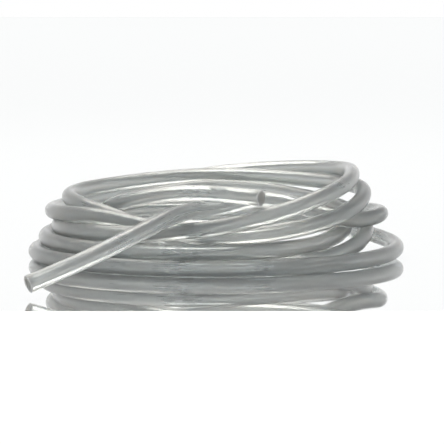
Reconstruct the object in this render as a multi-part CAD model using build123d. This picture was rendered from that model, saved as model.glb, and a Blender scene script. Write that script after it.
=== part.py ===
from build123d import *

import os
from math import radians, tan

# A loose coil of clear silicone laboratory tubing, lying on a flat surface.
#
# One length of plain round tube, cut square at both ends.  Most of it is wound into six uneven
# turns.  The outer end runs off over the front of the coil down to the surface, and the inner
# end curls out of the hole and lies across the top of the front turns.
#
# Frame: +Z up, the surface is z = 0, and the origin is the middle of the part's footprint.
# The shapes are laid out about the coil's own upright axis and are moved to that origin last.

# The tube
TUBE_OUTSIDE = 12.0
BORE = 8.0

# The outer shape of the wound turns: a low ring whose top slopes down to the front and the left
RING_HALF_WIDTH = 147.0
RING_HALF_DEPTH = 140.0
HOLE_HALF_WIDTH = 86.0
HOLE_HALF_DEPTH = 76.0
HOLE_SHIFT = (-3.0, 8.0)
TOP_AT_AXIS = 56.0
TOP_RISE_TO_RIGHT = 0.08
TOP_RISE_TO_BACK = 0.08
RIM_ROUNDING = 6.0
FOOT_ROUNDING = 4.0

# Each arc of a tail takes this share of the shorter of the two runs that it joins
SHARE_OF_RUN = 0.45

# The outer tail, from its cut end up to the front of the ring, and on into the middle of its wall
OUTER_TAIL = [
    (-122, -245, 9),
    (-98, -235, 14),
    (-72, -209, 20),
    (-50, -177, 25),
    (-33, -140, 29),
    (-20, -102, 32),
]

# The inner tail, from its cut end over the front turns, down into the hole and into its left wall
# Its cut end stands clear of the ring's top, so that a fitting can be pushed straight into it
INNER_TAIL = [
    (32, -106, 57.5),
    (-5, -86, 56.5),
    (-43, -67, 55),
    (-67, -36, 55),
    (-80, 2, 48),
    (-90, 38, 41),
]


def tail_path(points, name):
    """Straight runs joined by tangent arcs, each as large as its two runs allow."""
    corners = [Vector(*point) for point in points]
    runs = [after - before for before, after in zip(corners, corners[1:])]
    radii = []
    for before, after in zip(runs, runs[1:]):
        half_turn = radians(before.get_angle(after)) / 2
        radii.append(SHARE_OF_RUN * min(before.length, after.length) / tan(half_turn))
    print(name, "arc radii", [round(radius) for radius in radii])
    return FilletPolyline(*corners, radius=radii)


def tail(points, ring, name):
    """A round tube with an open bore along a tail's path, stopping where it meets the ring."""
    path = tail_path(points, name)
    start = Plane(origin=path @ 0, z_dir=path % 0)
    outside = sweep(start * Circle(TUBE_OUTSIDE / 2), path=path)
    wall = outside - sweep(start * Circle(BORE / 2), path=path)
    print(name, "length", round(path.length, 1), "mean section", round(wall.volume / path.length, 2))
    return wall - ring


def wound_turns():
    """The closed outer shape of the turns: a ring with a flat foot and a sloping, rounded top."""
    stock = 2 * TOP_AT_AXIS
    ring = extrude(Ellipse(RING_HALF_WIDTH, RING_HALF_DEPTH), amount=stock)
    ring -= Pos(*HOLE_SHIFT) * extrude(Ellipse(HOLE_HALF_WIDTH, HOLE_HALF_DEPTH), amount=stock)
    slope = Plane(origin=(0, 0, TOP_AT_AXIS), z_dir=(-TOP_RISE_TO_RIGHT, -TOP_RISE_TO_BACK, 1))
    reach = 4 * RING_HALF_WIDTH
    ring -= slope * Box(reach, reach, stock, align=(Align.CENTER, Align.CENTER, Align.MIN))
    top = ring.faces().sort_by(Axis.Z)[-1]
    ring = fillet(top.edges(), RIM_ROUNDING)
    foot = ring.faces().sort_by(Axis.Z)[0]
    return fillet(foot.edges(), FOOT_ROUNDING)


coil = wound_turns()
free_end = tail(OUTER_TAIL, coil, "free_end")
inner_end = tail(INNER_TAIL, coil, "inner_end")

# The origin goes to the middle of the footprint of the three together
footprint = Compound([coil, free_end, inner_end]).bounding_box()
to_origin = Pos(-footprint.center().X, -footprint.center().Y, 0)
print("moved by", to_origin.position)

os.makedirs("parts", exist_ok=True)
for node, shape in (("coil", coil), ("free_end", free_end), ("inner_end", inner_end)):
    export_step(to_origin * shape, f"parts/{node}.step")
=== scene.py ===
"""A loose coil of clear silicone laboratory tubing on a pale, glossy surface."""

from math import cos, pi, radians, sin

import bmesh
import bpy
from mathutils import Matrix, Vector


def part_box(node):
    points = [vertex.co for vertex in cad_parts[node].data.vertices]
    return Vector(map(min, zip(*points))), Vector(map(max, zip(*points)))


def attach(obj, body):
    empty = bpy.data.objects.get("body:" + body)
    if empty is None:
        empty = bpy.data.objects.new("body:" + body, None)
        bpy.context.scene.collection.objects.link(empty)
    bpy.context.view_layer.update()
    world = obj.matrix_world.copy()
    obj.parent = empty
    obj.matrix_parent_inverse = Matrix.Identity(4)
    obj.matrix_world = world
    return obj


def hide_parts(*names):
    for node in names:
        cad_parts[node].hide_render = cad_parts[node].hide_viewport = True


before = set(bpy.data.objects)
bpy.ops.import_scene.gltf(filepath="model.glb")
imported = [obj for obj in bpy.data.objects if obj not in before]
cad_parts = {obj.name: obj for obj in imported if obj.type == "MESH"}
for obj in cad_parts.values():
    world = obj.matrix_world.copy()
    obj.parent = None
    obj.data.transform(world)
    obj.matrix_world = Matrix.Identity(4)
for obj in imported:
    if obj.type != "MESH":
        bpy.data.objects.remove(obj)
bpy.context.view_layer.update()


# --- The viewpoint ---------------------------------------------------------------------------
# The coil is seen from just above the surface, from far off and with a long lens, so that its
# turns are stacked almost flat one above the other.  It stands a little left of the middle.

coil_low, coil_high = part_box("coil")
coil_axis = Vector(((coil_low.x + coil_high.x) / 2, (coil_low.y + coil_high.y) / 2, 0))

VIEW_FROM = Vector((0.0054, -1.68, 0.1884))
VIEW_DIPS = radians(5.5)
SENSOR_WIDTH = 36
LENS = 178.4

camera = bpy.data.objects.new("camera", bpy.data.cameras.new("camera"))
camera.data.sensor_width = SENSOR_WIDTH
camera.data.lens = LENS
camera.location = coil_axis + VIEW_FROM
camera.rotation_euler = (radians(90) - VIEW_DIPS, 0, 0)
bpy.context.collection.objects.link(camera)
bpy.context.scene.camera = camera


# --- The tube's route ------------------------------------------------------------------------
# One length of tubing, thrown down as a loose coil.  The outer tail starts on the surface, climbs
# over the front turns and swings round the inside of the coil.  Five and a half uneven turns
# follow, and the inner tail curls back over the front turns.  It all follows one smooth line.

TUBE_OUTSIDE = 0.012

# From the cut end on the surface, about the coil's axis
OUTER_TAIL = [
    (-0.1222, -0.2450, 0.0090),
    (-0.0975, -0.2335, 0.0183),
    (-0.0725, -0.2090, 0.0280),
    (-0.0480, -0.1705, 0.0372),
    (-0.0245, -0.1200, 0.0456),
    (0.0030, -0.0738, 0.0432),
    (0.0390, -0.0552, 0.0516),
    (0.0770, -0.0500, 0.0385),
    (0.1080, -0.0330, 0.0300),
]

# Each turn's reach from the coil's axis and its height, in tube diameters, every eighth of a
# turn: right, back right, back, back left, left, front left, front and front right
TURNS = [
    (
        (10.95, 2.8), (10.4, 2.3), (9.6, 0.65), (10.6, 0.53),
        (11.6, 0.52), (11.6, 0.52), (11.2, 0.52), (11.5, 0.52),
    ),
    (
        (11.8, 0.7), (11.4, 1.15), (10.9, 1.6), (10.8, 1.6),
        (10.95, 1.4), (10.9, 1.35), (10.4, 1.4), (8.8, 1.4),
    ),
    (
        (8.4, 2.15), (8.2, 2.2), (8.8, 2.3), (9.5, 2.3),
        (10.1, 2.1), (10.3, 2.25), (10.2, 2.75), (9.4, 4.4),
    ),
    (
        (8.8, 5.3), (10.3, 5.2), (10.9, 4.6), (11.0, 3.1),
        (10.6, 2.95), (9.5, 3.2), (9.2, 2.1), (9.6, 2.85),
    ),
    (
        (9.65, 4.3), (9.3, 4.4), (9.8, 4.55), (9.7, 4.1),
        (9.5, 3.85), (8.4, 3.1), (8.2, 0.95), (9.8, 0.62),
    ),
    (
        (9.75, 2.15), (8.9, 3.3), (7.6, 3.9), (7.0, 3.4),
        (6.9, 3.1),
    ),
]
POINTS_PER_EIGHTH = 2
RINGS_PER_POINT = 10

# From the left of the hole to the cut end on top of the front turns
INNER_TAIL = [
    (-0.0750, -0.0385, 0.0438),
    (-0.0426, -0.0672, 0.0534),
    (-0.0054, -0.0864, 0.0570),
    (0.0336, -0.1110, 0.0545),
]


def between(before, start, end, after, share):
    """The value at a share of the way from start to end, on a smooth line through all four."""
    slope = end - before
    bend = 2 * before - 5 * start + 4 * end - after
    twist = 3 * (start - end) + after - before
    return start + (slope * share + bend * share**2 + twist * share**3) / 2


eighths = [Vector(eighth) * TUBE_OUTSIDE for turn in TURNS for eighth in turn]
turn_points = []
for place, eighth in enumerate(eighths[:-1]):
    before = eighths[max(place - 1, 0)]
    end = eighths[place + 1]
    after = eighths[min(place + 2, len(eighths) - 1)]
    for step in range(POINTS_PER_EIGHTH):
        share = step / POINTS_PER_EIGHTH
        reach, height = between(before, eighth, end, after, share)
        angle = (place + share) * pi / 4
        turn_points.append(Vector((reach * cos(angle), reach * sin(angle), height)))
last_reach, last_height = eighths[-1]
last_angle = (len(eighths) - 1) * pi / 4
turn_points.append(Vector((last_reach * cos(last_angle), last_reach * sin(last_angle), last_height)))

outer_points = [Vector(point) for point in OUTER_TAIL]
inner_points = [Vector(point) for point in INNER_TAIL]
route_points = outer_points + turn_points + inner_points

route = bpy.data.curves.new("route", "CURVE")
route.dimensions = "3D"
route.resolution_u = RINGS_PER_POINT
spline = route.splines.new("NURBS")
spline.points.add(len(route_points) - 1)
for control, point in zip(spline.points, route_points):
    control.co = (*(coil_axis + point), 1)
spline.order_u = 3
spline.use_endpoint_u = True
route_object = bpy.data.objects.new("route", route)
centreline_mesh = bpy.data.meshes.new_from_object(route_object)
centreline = [vertex.co.copy() for vertex in centreline_mesh.vertices]
tube_length = sum((after - before).length for before, after in zip(centreline, centreline[1:]))


# --- The tube --------------------------------------------------------------------------------
# Translucent silicone rubber, extruded as a plain round tube with a bore of two thirds of its
# outside and cut square with a blade at both ends, so each end shows its thick wall.

BORE = 0.008
WALL_SIDES = 28
CUT_ROUNDING = 0.0003

tube_mesh = bmesh.new()
# Each vertex's place in the wall: cosine and sine round the tube, and metres along it
wall_layer = tube_mesh.verts.layers.float_vector.new("wall")
for radius in (TUBE_OUTSIDE / 2, BORE / 2):
    route.bevel_depth = radius
    route.bevel_resolution = WALL_SIDES // 2 - 2
    skin = bpy.data.meshes.new_from_object(route_object)
    already = len(tube_mesh.verts)
    tube_mesh.from_mesh(skin)
    tube_mesh.verts.ensure_lookup_table()
    sides = (len(tube_mesh.verts) - already) // len(centreline)
    along = 0
    for place, centre in enumerate(centreline):
        along += (centre - centreline[max(place - 1, 0)]).length
        for side in range(sides):
            around = 2 * pi * side / sides
            tube_mesh.verts[already + place * sides + side][wall_layer] = (cos(around), sin(around), along)
    bpy.data.meshes.remove(skin)
bpy.data.objects.remove(route_object)

rims = [edge for edge in tube_mesh.edges if edge.is_boundary]
for at_start in (True, False):
    cut = [edge for edge in rims if (edge.verts[0][wall_layer].z < tube_length / 2) == at_start]
    bmesh.ops.bridge_loops(tube_mesh, edges=cut)
bmesh.ops.bevel(
    tube_mesh,
    geom=rims,
    offset=CUT_ROUNDING,
    offset_type="OFFSET",
    affect="EDGES",
    segments=2,
    profile=0.5,
    material=-1,
)
bmesh.ops.recalc_face_normals(tube_mesh, faces=tube_mesh.faces)
for face in tube_mesh.faces:
    face.smooth = True

tube = bpy.data.objects.new("silicone_tube", bpy.data.meshes.new("silicone_tube"))
tube_mesh.to_mesh(tube.data)
tube_mesh.free()
bpy.context.collection.objects.link(tube)

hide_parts("coil", "free_end", "inner_end")
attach(tube, "root")


# --- The silicone ----------------------------------------------------------------------------
# Silicone rubber is hazy rather than clear: it passes light but blurs what is behind it.
# The die leaves very fine lines along the tube, and the surface has a soft gloss.

class Socket:
    """A shader value that Python expressions can work on."""

    def __init__(self, tree, value):
        self.tree = tree
        self.value = value

    def node(self, kind, settings=(), **inputs):
        """Adds a node: its settings are made first, then its inputs.  Returns the node."""
        made = self.tree.nodes.new(kind)
        for name, setting in dict(settings).items():
            setattr(made, name, setting)
        for name, value in inputs.items():
            socket = made.inputs[int(name[1:])] if name[0] == "n" else made.inputs[name.replace("_", " ")]
            if isinstance(value, Socket):
                self.tree.links.new(value.value, socket)
            else:
                socket.default_value = value
        return made

    def maths(self, operation, *values):
        """A Math node on the given values."""
        numbered = {f"n{place}": value for place, value in enumerate(values)}
        made = self.node("ShaderNodeMath", {"operation": operation}, **numbered)
        return Socket(self.tree, made.outputs[0])

    def __add__(self, other):
        return self.maths("ADD", self, other)

    def __mul__(self, other):
        return self.maths("MULTIPLY", self, other)

    def __sub__(self, other):
        return self.maths("SUBTRACT", self, other)

    def __rsub__(self, other):
        return self.maths("SUBTRACT", other, self)

    __radd__ = __add__
    __rmul__ = __mul__


def new_material(name):
    """An empty material, a socket to build on, and its output's surface input."""
    material = bpy.data.materials.new(name)
    material.use_nodes = True
    material.node_tree.nodes.clear()
    output = material.node_tree.nodes.new("ShaderNodeOutputMaterial")
    return material, Socket(material.node_tree, None), output.inputs["Surface"]


def out(node, name, tree):
    """One of a node's outputs, ready for expressions."""
    return Socket(tree, node.outputs[name])


CLEAR_TINT = (0.82, 0.86, 0.88, 1)
CLOUDY_TINT = (0.88, 0.88, 0.86, 1)
BASE_ROUGHNESS = 0.21
HAZE_ROUGHNESS = 0.10
DIE_LINE_ROUGHNESS = 0.06
RUBBER_IOR = 1.41
CLARITY = 0.86
SCATTER_SHARES = (1.0, 0.95, 0.9)
SCATTER_DEPTH = 0.004
DIE_LINE_DEPTH = 0.0004

CUT_COLOUR = (0.90, 0.90, 0.88, 1)
CUT_ROUGHNESS = 0.55
CUT_CLARITY = 0.25
FROSTED_BAND = 0.0006

silicone, base, surface = new_material("silicone")
tree = silicone.node_tree
place = out(base.node("ShaderNodeTexCoord"), "Object", tree)
wall = out(base.node("ShaderNodeAttribute", {"attribute_name": "wall"}), "Vector", tree)

along_tube = out(base.node("ShaderNodeSeparateXYZ", Vector=wall), "Z", tree)

# Fine die lines: quick round the tube, slow along it
die_place = base.node("ShaderNodeMapping", n0=wall, n3=(6.0, 6.0, 3.0))
die_lines = out(
    base.node("ShaderNodeTexNoise", Vector=out(die_place, "Vector", tree), Scale=1.6, Detail=4.0), "Fac", tree
)
# Slow haze along the length and cloudiness in the rubber
haze = out(base.node("ShaderNodeTexNoise", Vector=place, Scale=22.0, Detail=3.0), "Fac", tree)

tint = base.node(
    "ShaderNodeMix",
    {"data_type": "RGBA"},
    n0=haze,
    n6=CLEAR_TINT,
    n7=CLOUDY_TINT,
)
bump = base.node("ShaderNodeBump", Strength=0.08, Distance=DIE_LINE_DEPTH, Height=die_lines)
rubber = base.node(
    "ShaderNodeBsdfPrincipled",
    Base_Color=Socket(tree, tint.outputs[2]),
    Roughness=BASE_ROUGHNESS + HAZE_ROUGHNESS * haze + DIE_LINE_ROUGHNESS * die_lines,
    Normal=out(bump, "Normal", tree),
    IOR=RUBBER_IOR,
    Transmission_Weight=CLARITY,
    Coat_Weight=0.5,
    Coat_Roughness=0.12,
    Coat_IOR=RUBBER_IOR,
    Subsurface_Weight=1.0,
    Subsurface_Radius=SCATTER_SHARES,
    Subsurface_Scale=SCATTER_DEPTH,
)
# The blade leaves the two cut faces frosted, so they are pale and pass little light
from_cut = base.maths("MINIMUM", along_tube, base.maths("ABSOLUTE", tube_length - along_tube))
frosted = base.node(
    "ShaderNodeBsdfPrincipled",
    Base_Color=CUT_COLOUR,
    Roughness=CUT_ROUGHNESS,
    IOR=RUBBER_IOR,
    Transmission_Weight=CUT_CLARITY,
    Subsurface_Weight=1.0,
    Subsurface_Radius=SCATTER_SHARES,
    Subsurface_Scale=SCATTER_DEPTH,
)
silicone_mix = base.node("ShaderNodeMixShader", n0=base.maths("LESS_THAN", from_cut, FROSTED_BAND))
tree.links.new(rubber.outputs["BSDF"], silicone_mix.inputs[1])
tree.links.new(frosted.outputs["BSDF"], silicone_mix.inputs[2])
tree.links.new(silicone_mix.outputs["Shader"], surface)
tube.data.materials.append(silicone)


# --- The surface and the backdrop ------------------------------------------------------------
# The coil lies on a polished white sheet that mirrors it, and the sheet lies let into a plain
# floor of the same white.  The sheet's front edge runs straight across before the outer tail.

SHEET_FRONT = -0.308
FAR = 60
WHITE = (0.93, 0.93, 0.93, 1)
SHEET_MIRROR = 0.95
WHITE_LIFT = 0.3


def level_plane(name, front, back):
    """A flat rectangle that faces up, as wide as it can be seen."""
    mesh = bmesh.new()
    bmesh.ops.create_grid(mesh, x_segments=1, y_segments=1, size=0.5)
    bmesh.ops.scale(mesh, verts=mesh.verts, vec=(2 * FAR, back - front, 1))
    bmesh.ops.translate(mesh, verts=mesh.verts, vec=(0, (front + back) / 2, 0))
    plane = bpy.data.objects.new(name, bpy.data.meshes.new(name))
    mesh.to_mesh(plane.data)
    mesh.free()
    bpy.context.collection.objects.link(plane)
    return plane


def white_finish(name, mirror, lift):
    """A white ground: so much of it a mirror, and the rest matt, lifted to white for the eye alone."""
    material, start, output = new_material(name)
    tree = material.node_tree
    eye = out(start.node("ShaderNodeLightPath"), "Is Camera Ray", tree)
    matt = start.node("ShaderNodeBsdfPrincipled", Base_Color=WHITE, Roughness=0.9, Emission_Color=(1, 1, 1, 1))
    tree.links.new((eye * lift).value, matt.inputs["Emission Strength"])
    polish = start.node("ShaderNodeBsdfGlossy", Color=(0.97, 0.98, 0.98, 1), Roughness=0.02)
    finish = start.node("ShaderNodeMixShader", n0=mirror)
    tree.links.new(matt.outputs["BSDF"], finish.inputs[1])
    tree.links.new(polish.outputs["BSDF"], finish.inputs[2])
    tree.links.new(finish.outputs["Shader"], output)
    return material


sheet = level_plane("polished_sheet", coil_axis.y + SHEET_FRONT, FAR)
sheet.data.materials.append(white_finish("white_polish", SHEET_MIRROR, WHITE_LIFT))
floor = level_plane("floor", -FAR, coil_axis.y + SHEET_FRONT)
floor.data.materials.append(white_finish("white_matt", 0.0, WHITE_LIFT))

# The backdrop is white to the eye.  In reflections and through the tube it is white low down,
# where it stands behind the coil, and falls off to a dim room higher up.
ROOM_LIGHT = 0.45
BACKDROP_TOP = 0.12
ROOM_FROM = 0.55
DIM_ROOM = 0.31
LOW_COLOUR = (1.0, 0.95, 0.87, 1)
HIGH_COLOUR = (0.84, 0.93, 1.0, 1)

world = bpy.data.worlds.new("studio")
bpy.context.scene.world = world
world.use_nodes = True
world.node_tree.nodes.clear()
air = Socket(world.node_tree, None)
rays = air.node("ShaderNodeLightPath")
eye, mirrored, through = (
    out(rays, name, world.node_tree) for name in ("Is Camera Ray", "Is Glossy Ray", "Is Transmission Ray")
)
direction = out(air.node("ShaderNodeTexCoord"), "Generated", world.node_tree)
upward = air.maths("ABSOLUTE", out(air.node("ShaderNodeSeparateXYZ", Vector=direction), "Z", world.node_tree))
falloff = air.node(
    "ShaderNodeMapRange",
    {"interpolation_type": "SMOOTHSTEP"},
    n0=upward,
    n1=BACKDROP_TOP,
    n2=ROOM_FROM,
    n3=1.0,
    n4=DIM_ROOM,
)
seen_through = air.maths("MAXIMUM", mirrored, through)
strength = ROOM_LIGHT + seen_through * (out(falloff, "Result", world.node_tree) - ROOM_LIGHT)
strength = strength + eye * (1 - strength)
# Seen through the tube, the backdrop's white is a warm one and the room's is cool
coolness = air.node("ShaderNodeMapRange", n0=upward, n1=BACKDROP_TOP, n2=ROOM_FROM, n3=0.0, n4=1.0)
room_colour = air.node(
    "ShaderNodeMix",
    {"data_type": "RGBA"},
    n0=out(coolness, "Result", world.node_tree),
    n6=LOW_COLOUR,
    n7=HIGH_COLOUR,
)
seen_colour = air.node(
    "ShaderNodeMix",
    {"data_type": "RGBA"},
    n0=through,
    n6=(1, 1, 1, 1),
    n7=Socket(world.node_tree, room_colour.outputs[2]),
)
backdrop = air.node(
    "ShaderNodeBackground", Color=Socket(world.node_tree, seen_colour.outputs[2]), Strength=strength
)
world_output = world.node_tree.nodes.new("ShaderNodeOutputWorld")
world.node_tree.links.new(backdrop.outputs["Background"], world_output.inputs["Surface"])


# --- The lamps -------------------------------------------------------------------------------
# A large soft box hangs above and behind the coil, and a weaker one fills in from the front.

def soft_box(name, position, size, power, colour):
    """A square lamp that faces the middle of the coil."""
    lamp = bpy.data.objects.new(name, bpy.data.lights.new(name, "AREA"))
    lamp.data.size = size
    lamp.data.energy = power
    lamp.data.color = colour
    lamp.location = coil_axis + Vector(position)
    lamp.rotation_euler = Vector(position).to_track_quat("Z", "Y").to_euler()
    bpy.context.collection.objects.link(lamp)


soft_box("overhead", (-0.2, 0.9, 1.6), 1.4, 26, (1.0, 0.96, 0.89))
soft_box("front_fill", (0.8, -2.2, 1.2), 1.2, 4, (0.88, 0.95, 1.0))

bpy.context.scene.view_settings.view_transform = "Standard"
